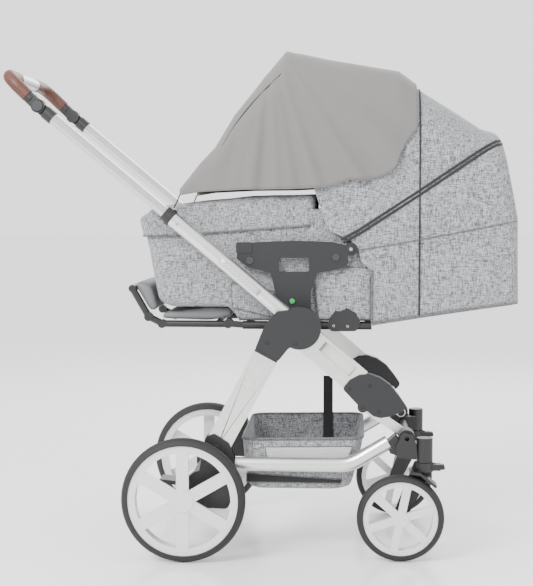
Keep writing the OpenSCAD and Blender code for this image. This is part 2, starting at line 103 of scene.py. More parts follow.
def linear(hex_colour: str) -> tuple[float, float, float, float]:
    """Turns an sRGB hex colour into a linear one with full alpha.

    Args:
        hex_colour: The colour as #rrggbb.

    Returns:
        Red, green, blue and alpha.
    """
    parts = [int(hex_colour[i:i + 2], 16) / 255 for i in (1, 3, 5)]
    return (*[p / 12.92 if p <= 0.04045 else ((p + 0.055) / 1.055) ** 2.4 for p in parts], 1.0)


def add(tree: bpy.types.NodeTree, kind: str, settings: dict | None = None, **links) -> bpy.types.Node:
    """Adds one shader node with its settings and links.

    Args:
        tree: The node tree that it goes in.
        kind: Blender's name for the node.
        settings: Attributes by name, or socket values by name.
        **links: Output sockets by the input they feed, with _ for a space.

    Returns:
        The new node.
    """
    node = tree.nodes.new(kind)
    for name, value in (settings or {}).items():
        if name in node.inputs:
            node.inputs[name].default_value = value
        else:
            setattr(node, name, value)
    for name, source in links.items():
        tree.links.new(source, node.inputs[name.replace("_", " ")])
    return node


class Pattern(Enum):
    """The kinds of surface that the stroller's finishes have."""

    MELANGE = "two-tone woven fabric"
    KNIT = "plain jersey"
    BRUSHED = "drawn and anodised tube"
    MOULDED = "fine moulded grain"
    HIDE = "leather grain"
    PUNCHED = "rows of small round dimples"
    RIBBED = "ribbed tape"
    NET = "open net"


@dataclass(frozen=True)
class Finish:
    """One material: what the real one is made of and how its surface was made."""

    name: str
    pattern: Pattern
    colour: str
    second: str
    roughness: float
    scale_mm: float
    bump: float
    metallic: float = 0.0
    sheen: float = 0.0
    coat: float = 0.0

    def mixed(self, tree: bpy.types.NodeTree, factor: bpy.types.NodeSocket) -> bpy.types.NodeSocket:
        """Mixes the two colours by a factor from 0 to 1.

        Args:
            tree: The material's node tree.
            factor: 0 for the first colour, 1 for the second.

        Returns:
            The colour output.
        """
        mix = add(tree, "ShaderNodeMix", {"data_type": "RGBA"})
        mix.inputs[6].default_value = linear(self.colour)
        mix.inputs[7].default_value = linear(self.second)
        tree.links.new(factor, mix.inputs[0])
        return mix.outputs[2]

    def stretched(self, tree: bpy.types.NodeTree, scale: tuple[float, float, float]) -> bpy.types.NodeSocket:
        """Object coordinates, scaled so that one unit is one grain of the pattern.

        Args:
            tree: The material's node tree.
            scale: How much the grain is squeezed along each axis.

        Returns:
            The vector output.
        """
        coords = add(tree, "ShaderNodeTexCoord")
        size = [s / (self.scale_mm * MM) for s in scale]
        mapping = add(tree, "ShaderNodeMapping", {"Scale": size}, Vector=coords.outputs["Object"])
        return mapping.outputs["Vector"]

    def threads(self, tree: bpy.types.NodeTree) -> tuple[bpy.types.NodeSocket, bpy.types.NodeSocket]:
        """Warp and weft yarns that each vary in tone along their length, as in a melange weave.

        Args:
            tree: The material's node tree.

        Returns:
            The colour factor and the height.
        """
        yarns = []
        for scale in ((0.16, 0.9, 1.0), (1.0, 0.9, 0.16)):
            yarn = add(tree, "ShaderNodeTexNoise", {"Scale": 1.0, "Detail": 2.0, "Roughness": 0.6},
                       Vector=self.stretched(tree, scale))
            yarns.append(yarn.outputs["Fac"])
        both = add(tree, "ShaderNodeMath", {"operation": "ADD"})
        tree.links.new(yarns[0], both.inputs[0])
        tree.links.new(yarns[1], both.inputs[1])
        spread = add(tree, "ShaderNodeMapRange", {"From Min": 0.78, "From Max": 1.22}, Value=both.outputs[0])
        return spread.outputs["Result"], both.outputs[0]

    def surface(self, tree: bpy.types.NodeTree) -> tuple[bpy.types.NodeSocket, bpy.types.NodeSocket]:
        """Builds the pattern.

        Args:
            tree: The material's node tree.

        Returns:
            The factor between the two colours, and the height for the bump.
        """
        if self.pattern is Pattern.MELANGE:
            return self.threads(tree)
        if self.pattern is Pattern.BRUSHED:
            lines = add(tree, "ShaderNodeTexNoise", {"Scale": 1.0, "Detail": 4.0},
                        Vector=self.stretched(tree, (0.05, 1.0, 0.05)))
            return lines.outputs["Fac"], lines.outputs["Fac"]
        if self.pattern is Pattern.HIDE:
            cells = add(tree, "ShaderNodeTexVoronoi", {"Scale": 1.0}, Vector=self.stretched(tree, (1, 1, 1)))
            tone = add(tree, "ShaderNodeTexNoise", {"Scale": 0.12, "Detail": 3.0},
                       Vector=self.stretched(tree, (1, 1, 1)))
            return tone.outputs["Fac"], cells.outputs["Distance"]
        if self.pattern is Pattern.RIBBED:
            ribs = add(tree, "ShaderNodeTexWave", {"Scale": 1.0, "Distortion": 0.4},
                       Vector=self.stretched(tree, (0.3, 0.3, 0.3)))
            return ribs.outputs["Fac"], ribs.outputs["Fac"]
        # Near the middle of each cell the first, darker colour is painted: shade in the dimples, and shade of the
        # basket's inside in the net's holes.
        if self.pattern in (Pattern.PUNCHED, Pattern.NET):
            holes = add(tree, "ShaderNodeTexVoronoi", {"Scale": 1.0, "Randomness": 0.0},
                        Vector=self.stretched(tree, (1, 1, 1)))
            edge = add(tree, "ShaderNodeMapRange", {"From Min": 0.28, "From Max": 0.4},
                       Value=holes.outputs["Distance"])
            return edge.outputs["Result"], edge.outputs["Result"]
        grain = add(tree, "ShaderNodeTexNoise", {"Scale": 1.0, "Detail": 3.0},
                    Vector=self.stretched(tree, (1, 1, 1)))
        return grain.outputs["Fac"], grain.outputs["Fac"]

    def material(self) -> bpy.types.Material:
        """Builds the material, or returns the one that is built already."""
        if self.name in bpy.data.materials:
            return bpy.data.materials[self.name]
        made = bpy.data.materials.new(self.name)
        made.use_nodes = True
        tree = made.node_tree
        shader = tree.nodes["Principled BSDF"]
        factor, height = self.surface(tree)
        tree.links.new(self.mixed(tree, factor), shader.inputs["Base Color"])
        rough = add(tree, "ShaderNodeMapRange", {"To Min": max(self.roughness - 0.08, 0.02),
                                                 "To Max": min(self.roughness + 0.08, 1.0)}, Value=factor)
        tree.links.new(rough.outputs["Result"], shader.inputs["Roughness"])
        lift = add(tree, "ShaderNodeBump", {"Strength": self.bump, "Distance": 0.3 * self.scale_mm * MM},
                   Height=height)
        tree.links.new(lift.outputs["Normal"], shader.inputs["Normal"])
        shader.inputs["Metallic"].default_value = self.metallic
        shader.inputs["Sheen Weight"].default_value = self.sheen
        shader.inputs["Coat Weight"].default_value = self.coat
        return made


# Woven polyester melange: light and dark yarns cross, so it reads as soft grey flecks.
# The yarns are about 0.5 mm apart on the real cloth, drawn at about 2 mm so that the flecks show.
MELANGE = Finish("woven_polyester_melange", Pattern.MELANGE, "#44464a", "#a6a8aa", 0.92, 1.9, 0.4, sheen=0.15)
MELANGE_DARK = Finish("woven_melange_binding", Pattern.MELANGE, "#3d3f43", "#6f7174", 0.92, 1.9, 0.3, sheen=0.1)
# Cotton jersey: smooth and matt with a soft sheen, a little warmer than the melange.
JERSEY = Finish("knitted_cotton_jersey", Pattern.KNIT, "#6a6967", "#737170", 0.95, 2.0, 0.15, sheen=0.15)
# Extruded aluminium, satin anodised: bright, with fine lines along the tube.
ANODISED = Finish("anodised_aluminium", Pattern.BRUSHED, "#d6d6d4", "#e8e8e6", 0.3, 0.8, 0.06, metallic=0.95)
# Drawn and polished aluminium of the telescopic tubes: a little darker and glossier.
DRAWN = Finish("drawn_aluminium", Pattern.BRUSHED, "#bcbdbf", "#d2d3d5", 0.24, 0.8, 0.05, metallic=0.95)
# The same anodised tube where rows of 2 mm dimples are pressed into it; the first, darker colour in the dimples is
# painted shade in their hollows.
PUNCHED = Finish("dimpled_aluminium", Pattern.PUNCHED, "#8b8c8d", "#d9d9d6", 0.38, 3.6, 0.6, metallic=0.7)
# Glass-filled nylon castings: dark grey, matt, with a spark-eroded grain of about 0.6 mm.
NYLON = Finish("moulded_nylon", Pattern.MOULDED, "#101113", "#16171a", 0.5, 0.9, 0.18)
# Moulded polypropylene: near black and slightly glossier.
POLYPROPYLENE = Finish("moulded_polypropylene", Pattern.MOULDED, "#131315", "#1a1a1c", 0.45, 0.9, 0.15)
# Acetal push buttons: dark grey and a little shinier than the castings round them.
BUTTON = Finish("moulded_button_plastic", Pattern.MOULDED, "#26272a", "#2e2f32", 0.38, 0.7, 0.1)
# Wipe-clean coated cover of the footrest: mid grey and matt.
FOOT_COVER = Finish("soft_grey_shell", Pattern.MOULDED, "#5d5e61", "#6c6d70", 0.6, 1.2, 0.15)
# Powder-coated steel tube: black with a slight orange-peel.
COATED = Finish("powder_coated_steel", Pattern.MOULDED, "#121214", "#19191b", 0.4, 1.6, 0.12)
# Foamed rubber tyre: charcoal and matt.
RUBBER = Finish("foamed_tyre_rubber", Pattern.MOULDED, "#161618", "#1e1e20", 0.7, 1.2, 0.2)
# Silver-painted ABS wheels: almost white under studio light.
WHEEL = Finish("silver_painted_abs", Pattern.MOULDED, "#d2d3d3", "#dcdddc", 0.28, 1.0, 0.04, metallic=0.35,
               coat=0.2)
# Vegetable-tanned leather: chestnut brown with a pebble grain of about 1 mm.
LEATHER = Finish("stitched_brown_leather", Pattern.HIDE, "#3a1d12", "#603322", 0.5, 1.4, 0.5)
# Silver-painted ABS in the middle of the handle.
SILVER_ABS = Finish("silver_handle_abs", Pattern.MOULDED, "#b4b5b7", "#c3c4c6", 0.3, 1.0, 0.04, metallic=0.4)
# Woven polyester tape of the zips, the basket strap and the ties: black, ribbed across; the basket's strip of
# painted shade is drawn in it too.
WEBBING = Finish("polyester_webbing", Pattern.RIBBED, "#141415", "#262628", 0.85, 1.5, 0.5, sheen=0.1)
# Knitted polyester net of the basket window: light yarns, with its holes painted a darker grey as painted shade of
# the basket's inside behind them.
NET = Finish("polyester_net", Pattern.NET, "#8e8f92", "#c2c3c5", 0.9, 3.0, 0.4, sheen=0.1)
# Zinc-plated steel of the pins and small screws.
STEEL = Finish("zinc_plated_steel", Pattern.BRUSHED, "#9a9b9d", "#b5b6b8", 0.3, 0.6, 0.05, metallic=1.0)
# Translucent green plastic of the lock indicator.
GREEN = Finish("green_indicator", Pattern.MOULDED, "#0b8f42", "#13a850", 0.3, 1.0, 0.03)

SLOT_FINISHES = {
    "silver_tube": ANODISED, "bright_tube": DRAWN, "dark_casting": NYLON, "black_plastic": POLYPROPYLENE,
    "axle_steel": COATED, "tyre_rubber": RUBBER, "rim_plastic": WHEEL, "grip_leather": LEATHER,
    "handle_centre": SILVER_ABS, "black_tube": COATED, "melange_fabric": MELANGE, "jersey_fabric": JERSEY,
    "webbing": WEBBING, "footrest_cover": FOOT_COVER, "button_plastic": BUTTON,
}


def finished(name: str, mesh: bmesh.types.BMesh, finish: Finish, body: str,
             smooth: bool = True) -> bpy.types.Object:
    """Makes an object from a bmesh, dresses it and lets it ride on its body.

    Args:
        name: The piece's name.
        mesh: Its shape, in the frame.
        finish: Its material.
        body: The body that it rides on.
        smooth: Whether its faces are shaded smooth.

    Returns:
        The new object.
    """
    data = bpy.data.meshes.new(name)
    for face in mesh.faces:
        face.smooth = smooth
    mesh.to_mesh(data)
    mesh.free()
    piece = bpy.data.objects.new(name, data)
    bpy.context.scene.collection.objects.link(piece)
    data.materials.append(finish.material())
    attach(piece, body)
    LOG.info("%s: %d faces", name, len(data.polygons))
    return piece


def sheet_mesh(point: Point, across: int, down: int) -> bmesh.types.BMesh:
    """Shapes a grid into a curved sheet.

    Args:
        point: Gives the place of each grid point from two shares from 0 to 1.
        across: Cells along the first share.
        down: Cells along the second.

    Returns:
        The sheet, with seams and poles closed and its faces turned outwards.
    """
    mesh = bmesh.new()
    bmesh.ops.create_grid(mesh, x_segments=across, y_segments=down, size=0.5)
    for vert in mesh.verts:
        vert.co = point(min(max(vert.co.x + 0.5, 0), 1), min(max(vert.co.y + 0.5, 0), 1))
    bmesh.ops.remove_doubles(mesh, verts=mesh.verts, dist=0.05 * MM)
    bmesh.ops.recalc_face_normals(mesh, faces=mesh.faces)
    return mesh


def thicken(piece: bpy.types.Object, thickness: float, offset: float = -1.0) -> bpy.types.Object:
    """Gives a sheet its thickness in millimetres, inwards with an offset of -1.

    Args:
        piece: The sheet.
        thickness: In millimetres.
        offset: -1 for inwards, 1 for outwards, 0 for both.

    Returns:
        The same piece.
    """
    solid = piece.modifiers.new("thickness", "SOLIDIFY")
    solid.thickness = thickness * MM
    solid.offset = offset
    return piece


def disc_mesh(centre: Vector, radius: float, depth: float, bevel: float = 0.6) -> bmesh.types.BMesh:
    """A round disc with its axis along Y and a rounded rim, sized in millimetres.

    Args:
        centre: Its middle in the frame.
        radius: Of the disc.
        depth: Along Y.
        bevel: Radius of its rim.

    Returns:
        The disc.
    """
    mesh = bmesh.new()
    bmesh.ops.create_cone(mesh, cap_ends=True, segments=40, radius1=radius * MM, radius2=radius * MM,
                          depth=depth * MM)
    rim = [e for e in mesh.edges if abs(e.verts[0].co.z - e.verts[1].co.z) < 1e-9]
    bmesh.ops.bevel(mesh, geom=rim, offset=bevel * MM, offset_type="OFFSET", affect="EDGES", segments=2,
                    profile=0.5, material=-1)
    for vert in mesh.verts:
        vert.co = centre + Vector((vert.co.x, vert.co.z, vert.co.y))
    bmesh.ops.recalc_face_normals(mesh, faces=mesh.faces)
    return mesh


def tube_mesh(path: Sequence[Vector], radius: float, sides: int = 10) -> bmesh.types.BMesh:
    """A round cord or tube along a path, with closed ends.

    Args:
        path: Points in the frame.
        radius: In millimetres.
        sides: How many sides it has.

    Returns:
        The tube.
    """
    mesh = bmesh.new()
    rings = []
    for i, place in enumerate(path):
        way = (path[min(i + 1, len(path) - 1)] - path[max(i - 1, 0)]).normalized()
        ring = bmesh.ops.create_circle(mesh, segments=sides, radius=radius * MM)["verts"]
        turn = way.to_track_quat("Z", "Y")
        for vert in ring:
            vert.co = place + turn @ vert.co
        rings.append(ring)
    for first, second in zip(rings, rings[1:]):
        edges = [e for e in mesh.edges if all(v in first for v in e.verts) or all(v in second for v in e.verts)]
        bmesh.ops.bridge_loops(mesh, edges=edges)
    bmesh.ops.holes_fill(mesh, edges=mesh.edges, sides=0)
    bmesh.ops.recalc_face_normals(mesh, faces=mesh.faces)
    return mesh


def ribbon_mesh(path: Sequence[Vector], normals: Sequence[Vector], width: float,
                depth: float) -> bmesh.types.BMesh:
    """A flat tape along a path.

    Args:
        path: Points along its middle.
        normals: The way its face looks at each point.
        width: In millimetres.
        depth: Its thickness in millimetres, outwards from the path.

    Returns:
        The closed tape.
    """
    last = len(path) - 1

    def point(u: float, v: float) -> Vector:
        """One point of the tape, around its section by v and along it by u.

        Args:
            u: The share along the tape.
            v: The share round its section.

        Returns:
            The point in the frame.
        """
        i = min(round(u * last), last)
        way = (path[min(i + 1, last)] - path[max(i - 1, 0)]).normalized()
        side = way.cross(normals[i]).normalized()
        across, out = ((-0.5, 0), (-0.42, 1), (0, 1.15), (0.42, 1), (0.5, 0), (-0.5, 0))[min(round(v * 5), 5)]
        return path[i] + side * across * width * MM + normals[i] * out * depth * MM

    mesh = sheet_mesh(point, last, 5)
    bmesh.ops.holes_fill(mesh, edges=mesh.edges, sides=0)
    bmesh.ops.recalc_face_normals(mesh, faces=mesh.faces)
    return mesh


def measured(point: Point, piece: bpy.types.Object) -> dict[str, object]:
    """Measures a sheet before it gets its thickness.

    Args:
        point: The function that shaped it.
        piece: The sheet.
    """
    def length(line: Sequence[Vector]) -> float:
        """The length of a line through points.

        Args:
            line: The points.

        Returns:
            The length in metres.
        """
        return sum((b - a).length for a, b in zip(line, line[1:]))

    steps = [i / 40 for i in range(41)]
    long_way = max(length([point(u, v) for u in steps]) for v in steps)
    cross_way = max(length([point(u, v) for v in steps]) for u in steps)
    own = sum(p.area for p in piece.data.polygons)
    LOG.info("%s: flat %.3f x %.3f m, area %.3f m2", piece.name, cross_way, long_way, own)
    return {"flat": (round(cross_way, 3), round(long_way, 3)), "area": round(own, 3)}


@dataclass
class Arch:
    """A cloth roof over the seat, drawn as an arch at each place along the stroller."""

    top: Curve
    foot: Curve
    half: float
    shoulder: Curve
    lift: float = 0.0

    def section(self, x: float, s: float) -> tuple[float, float]:
        """A point on the arch at x, from the right foot at 0 over the top to the left foot at 1.

        Args:
            x: Where along the stroller.
            s: The share of the way over.

        Returns:
            Y and Z in millimetres.
        """
        half = self.half + self.lift
        top = along(self.top, x) + self.lift
        foot = min(along(self.foot, x), top - 2)
        r = min(along(self.shoulder, x), (top - foot) * 0.9, half * 0.9)
        side, bend, flat = top - r - foot, r * math.pi / 2, 2 * (half - r)
        d = (1 - abs(2 * s - 1)) * (side + bend + flat / 2)
        if d <= side:
            y, z = -half, foot + d
        elif d <= side + bend:
            a = (d - side) / r
            y, z = -half + r - r * math.cos(a), top - r + r * math.sin(a)
        else:
            y, z = -half + r + (d - side - bend), top
        return (y if s <= 0.5 else -y), z

    def share(self, x: float, z: float) -> float:
        """The share of the arch at x where its right side is at height z.

        Args:
            x: Where along the stroller.
            z: The height.

        Returns:
            The share, from 0 to 0.5.
        """
        top, foot = along(self.top, x) + self.lift, along(self.foot, x)
        half = self.half + self.lift
        r = min(along(self.shoulder, x), (top - foot) * 0.9, half * 0.9)
        whole = top - r - foot + r * math.pi / 2 + half - r
        return 0.5 * (z - foot) / whole


def folding(piece: bpy.types.Object) -> bpy.types.Object:
    """Gives a piece of the hood or the sail its own copy of its mesh.

    Args:
        piece: The piece, with its mesh final.

    Returns:
        The same piece.
    """
    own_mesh(piece)
    return piece


@dataclass
class Hood:
    """The hood: one curved sheet with a closed back, its zips, seams and piping."""

    front: Curve = ((524, 418), (650, 418), (668, 396), (712, 384), (742, 318), (835, 288), (950, 259),
                    (1080, 235), (1148, 223))
    back: Curve = ((576, 752), (770, 749), (940, 716), (1150, 700))
    roof: Arch = field(default_factory=lambda: Arch(
        top=((222, 1146), (350, 1120), (480, 1098), (538, 1054), (600, 1017), (665, 974), (702, 964), (718, 945)),
        foot=((222, 523), (418, 523), (540, 543), (754, 575)),
        half=168, shoulder=((222, 92), (538, 88), (754, 72))))
    puff: float = 2.5
    cloth: float = 3.0

    def point(self, v: float, s: float) -> Vector:
        """A point of the hood, from its front edge to its back by v and over the arch by s.

        Args:
            v: From the front edge at 0 to the closed back at 1.
            s: From the right foot at 0 to the left foot at 1.

        Returns:
            The point in the frame.
        """
        turn = 0.86
        t = min(v / turn, 1.0)
        x = 222 + (752 - 222) * t
        for _ in range(4):
            y, z = self.roof.section(x, s)
            x = along(self.front, z) * (1 - t) + along(self.back, z) * t
        if t > 0.93:
            y *= 1 - 0.10 * ((t - 0.93) / 0.07) ** 2
        if v > turn:
            close = (v - turn) / (1 - turn)
            foot = along(self.roof.foot, 754)
            y *= 1 - close
            x = along(self.back, z) + 2.0 * math.sin(close * math.pi / 2)
        puff = self.puff * math.sin(math.pi * min(max(t, 0), 1)) * math.sin(math.pi * s) ** 0.5
        grain = noise.noise(Vector((x, y, z)) / 60.0) * 1.6
        out = Vector((0, y / 170, (0.5 if z > 900 else 0))).normalized() if abs(y) > 1 else Vector((0, 0, 1))
        return at(x, y, z) + out * (puff + grain - 1.5) * MM

    def side_line(self, points: Sequence[tuple[float, float]], sign: int, steps: int = 24) -> list[Vector]:
        """A line on the hood's flat side, through points in X and Z.

        Args:
            points: X and Z in millimetres.
            sign: -1 for the right side, 1 for the left.
            steps: How many pieces the line has.

        Returns:
            Its points in the frame.
        """
        spots = []
        span = len(points) - 1
        for i in range(steps + 1):
            k = min(int(i * span / steps), span - 1)
            f = i * span / steps - k
            x = points[k][0] * (1 - f) + points[k + 1][0] * f
            z = points[k][1] * (1 - f) + points[k + 1][1] * f
            y, z2 = self.roof.section(x, max(min(self.roof.share(x, z), 0.5), 0.0))
            spots.append(at(x, sign * (abs(y) + 1.2), z2))
        return spots

    def over(self, x: float, low: float, lift: float, steps: int = 60) -> tuple[list[Vector], list[Vector]]:
        """A line over the whole arch at x, from height low on one side to the other.

        Args:
            x: Where along the stroller.
            low: The height that it starts and ends at.
            lift: How far outside the cloth, in millimetres.
            steps: How many pieces it has.

        Returns:
            Its points and the ways that they face.
        """
        start = self.roof.share(x, low)
        path, faces = [], []
        for i in range(steps + 1):
            s = start + (1 - 2 * start) * i / steps
            y, z = self.roof.section(x, s)
            y2, z2 = self.roof.section(x, min(s + 0.004, 1))
            y1, z1 = self.roof.section(x, max(s - 0.004, 0))
            out = Vector((0, -(z2 - z1), y2 - y1)).normalized()
            path.append(at(x, y, z) + out * lift * MM)
            faces.append(out)
        return path, faces

    def build(self) -> None:
        """Builds the sheet, its zips and its seams."""
        mesh = sheet_mesh(self.point, 96, 88)
        piece = finished("hood_cloth", mesh, MELANGE, "seat")
        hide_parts("hood")
        size = measured(self.point, piece)
        folding(thicken(piece, self.cloth))
        zips = []
        path, faces = self.over(527, 548, 1.2)
        zips.append(("hood_rear_zip", path, faces, 4.0))
        for sign, side in ((-1, "right"), (1, "left")):
            line = self.side_line([(352, 716), (392, 738), (527, 826), (640, 902), (712, 950)], sign)
            out = [Vector((0, sign, 0))] * len(line)
            zips.append((f"hood_zip_{side}_upper", [p + Vector((-0.0022, 0, 0.0036)) for p in line], out, 6.0))
            zips.append((f"hood_zip_{side}_lower", [p + Vector((0.0022, 0, -0.0036)) for p in line], out, 6.0))
        for name, path, out, width in zips:
            folding(finished(name, ribbon_mesh(path, out, width, 1.2), WEBBING, "seat"))
        for sign, side in ((-1, "right"), (1, "left")):
            seam = self.side_line([(392, 696), (525, 719), (640, 741), (746, 762)], sign)
            folding(finished(f"hood_seam_{side}", tube_mesh(seam, 1.4), MELANGE_DARK, "seat"))
            edge = self.side_line([(420, 650), (420, 588), (420, 528), (540, 547), (650, 563), (748, 577)],
                                  sign, 40)
            folding(finished(f"hood_hem_{side}", tube_mesh(edge, 2.2), MELANGE_DARK, "seat"))


@dataclass
class SunSail:
    """The jersey sail that is clipped over the hood and held forward to the push tubes."""

    roof: Arch = field(default_factory=lambda: Arch(
        top=((-20, 828), (29, 893), (60, 928), (103, 1001), (171, 1088), (222, 1148), (350, 1122), (480, 1100),
             (521, 1070)),
        foot=((-20, 821), (29, 829), (130, 834), (234, 835), (318, 839), (366, 856), (414, 857), (446, 866),
              (470, 882), (491, 936), (519, 972)),
        half=169, shoulder=((-20, 12), (60, 50), (222, 94), (540, 90)), lift=3.6))
    cloth: float = 1.2

    def point(self, u: float, s: float) -> Vector:
        """A point of the sail, from its front tips to its back edge by u and over the arch by s.

        Args:
            u: From the front tips at 0 to the back edge at 1.
            s: From the right foot at 0 to the left foot at 1.

        Returns:
            The point in the frame.
        """
        x = -18 + (519 + 18) * u
        y, z = self.roof.section(x, s)
        foot = along(self.roof.foot, x)
        low = max(0.0, 1 - (z - foot) / 190)
        # Long drape folds fan down from the bow's corner to the hem, deeper towards the hem.
        bearing = math.atan2(x - 190, max(1190 - z, 40))
        fan = math.sin(bearing * 27) + 0.55 * math.sin(bearing * 47 + 1.1)
        depth = (2.6 + 10.0 * low) * min(max((x - 60) / 120, 0.12), 1.0) * min(max((530 - x) / 60, 0.2), 1.0)
        fold = depth * (fan + 1.3) * 0.42
        fold += 1.2 * (noise.noise(Vector((x, y, z)) / 45.0) + 0.4)
        out = Vector((0, (y / 172) ** 3, 0.35 if abs(y) < 150 else 0.0))
        slack = 3.0 * math.sin(math.pi * min(max((220 - x) / 240, 0), 1)) * math.sin(math.pi * s)
        return at(x, y, z - slack) + out * fold * MM

    def build(self) -> None:
        """Builds the sail, its hem, its seams, its tips and their elastic ties."""
        piece = finished("sail_cloth", sheet_mesh(self.point, 170, 120), JERSEY, "seat")
        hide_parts("sun_sail")
        size = measured(self.point, piece)
        folding(thicken(piece, self.cloth, 1.0))
        for side, s in (("right", 0.0), ("left", 1.0)):
            hem = [self.point(i / 80, s) for i in range(81)]
            folding(finished(f"sail_hem_{side}", tube_mesh(hem, 1.5, 8), JERSEY, "seat"))
        back = [self.point(1.0, i / 60) for i in range(61)]
        folding(finished("sail_back_hem", tube_mesh(back, 1.4, 8), JERSEY, "seat"))
        for sign, side in ((-1, "right"), (1, "left")):
            slit = []
            for i in range(41):
                t = i / 40
                x, z = 218 - 138 * t - 14 * math.sin(math.pi * t), 1101 - 168 * t
                y, z2 = self.roof.section(x, max(min(self.roof.share(x, z), 0.499), 0.0))
                slit.append(at(x, sign * (abs(y) + 1.8), z2))
            folding(finished(f"sail_slit_{side}", tube_mesh(slit, 1.3, 8), WEBBING, "seat"))
            tip = self.point(0.0, 0.0 if sign < 0 else 1.0)
            tie = [tip, at(-24, sign * 172, 806), at(-31, sign * 176, 792)]
            folding(finished(f"sail_tie_{side}", tube_mesh(tie, 1.6, 8), WEBBING, "seat"))
        bow = [self.point((222 + 18) / 537, 0.03 + 0.94 * i / 60) for i in range(61)]
        folding(finished("sail_bow_seam", tube_mesh(bow, 1.1, 8), JERSEY, "seat"))


@dataclass(frozen=True)
class Panel:
    """A cloth panel that is sewn to a flat side, given by its four corners in X and Z in millimetres."""

    name: str
    corners: tuple[tuple[float, float], ...]
    y: float
    body: str
    finish: Finish
    puff: float = 2.0

    def point(self, sign: int, u: float, v: float) -> Vector:
        """A point of the panel on one side of the stroller.

        Args:
            sign: -1 for the right side, 1 for the left.
            u: The share along.
            v: The share down.

        Returns:
            The point in the frame.
        """
        (ax, az), (bx, bz), (cx, cz), (dx, dz) = self.corners
        x = (ax * (1 - u) + bx * u) * (1 - v) + (dx * (1 - u) + cx * u) * v
        z = (az * (1 - u) + bz * u) * (1 - v) + (dz * (1 - u) + cz * u) * v
        swell = self.puff * (math.sin(math.pi * u) * math.sin(math.pi * v)) ** 0.4
        ripple = 0.8 * noise.noise(Vector((x, z, sign * 40)) / 30.0)
        return at(x, sign * (self.y + max(swell + ripple * swell / 2, 0)), z)

    def build(self, slot: str = "melange_fabric") -> None:
        """Builds the panel and its binding on both sides.

        Args:
            slot: The record's material slot; not used.
        """
        for sign, side in ((-1, "right"), (1, "left")):
            mesh = sheet_mesh(lambda u, v: self.point(sign, u, v), 30, 20)
            thicken(finished(f"{self.name}_{side}", mesh, self.finish, self.body), 0.8, 0.0)
            loop = [self.point(sign, min(max(u, 0), 1), min(max(v, 0), 1)) for u, v in
                    [(i / 12, 0) for i in range(12)] + [(1, i / 12) for i in range(12)]
                    + [(1 - i / 12, 1) for i in range(12)] + [(0, 1 - i / 12) for i in range(13)]]
            finished(f"{self.name}_binding_{side}", tube_mesh(loop, 1.3, 8), MELANGE_DARK, self.body)


def ring_point(width: float, left: float, right: float, r: float, u: float) -> tuple[float, float]:
    """A point on a rounded rectangle, by its share u of the way round, as X and Y in millimetres.

    Args:
        width: Half its size along Y.
        left: Its low end along X.
        right: Its high end along X.
        r: The radius of its corners.
        u: The share of the way round.

    Returns:
        X and Y.
    """
    sx, sy = (right - left) / 2 - r, width - r
    cx = (left + right) / 2
    parts = [2 * sx, r * math.pi / 2, 2 * sy, r * math.pi / 2] * 2
    d = (u % 1.0) * sum(parts)
    starts = [(cx - sx, -width, 0), None, (cx + sx + r, -sy, 90), None, (cx + sx, width, 180), None,
              (cx - sx - r, sy, 270), None]
    centres = {1: (cx + sx, -sy, -90), 3: (cx + sx, sy, 0), 5: (cx - sx, sy, 90), 7: (cx - sx, -sy, 180)}
    for i, length in enumerate(parts):
        if d <= length or i == 7:
            if i in centres:
                x, y, a = centres[i]
                turn = math.radians(a + 90 * min(d / length, 1))
                return x + r * math.cos(turn), y + r * math.sin(turn)
            x, y, a = starts[i]
            return x + d * math.cos(math.radians(a)), y + d * math.sin(math.radians(a))
        d -= length
    return cx, 0


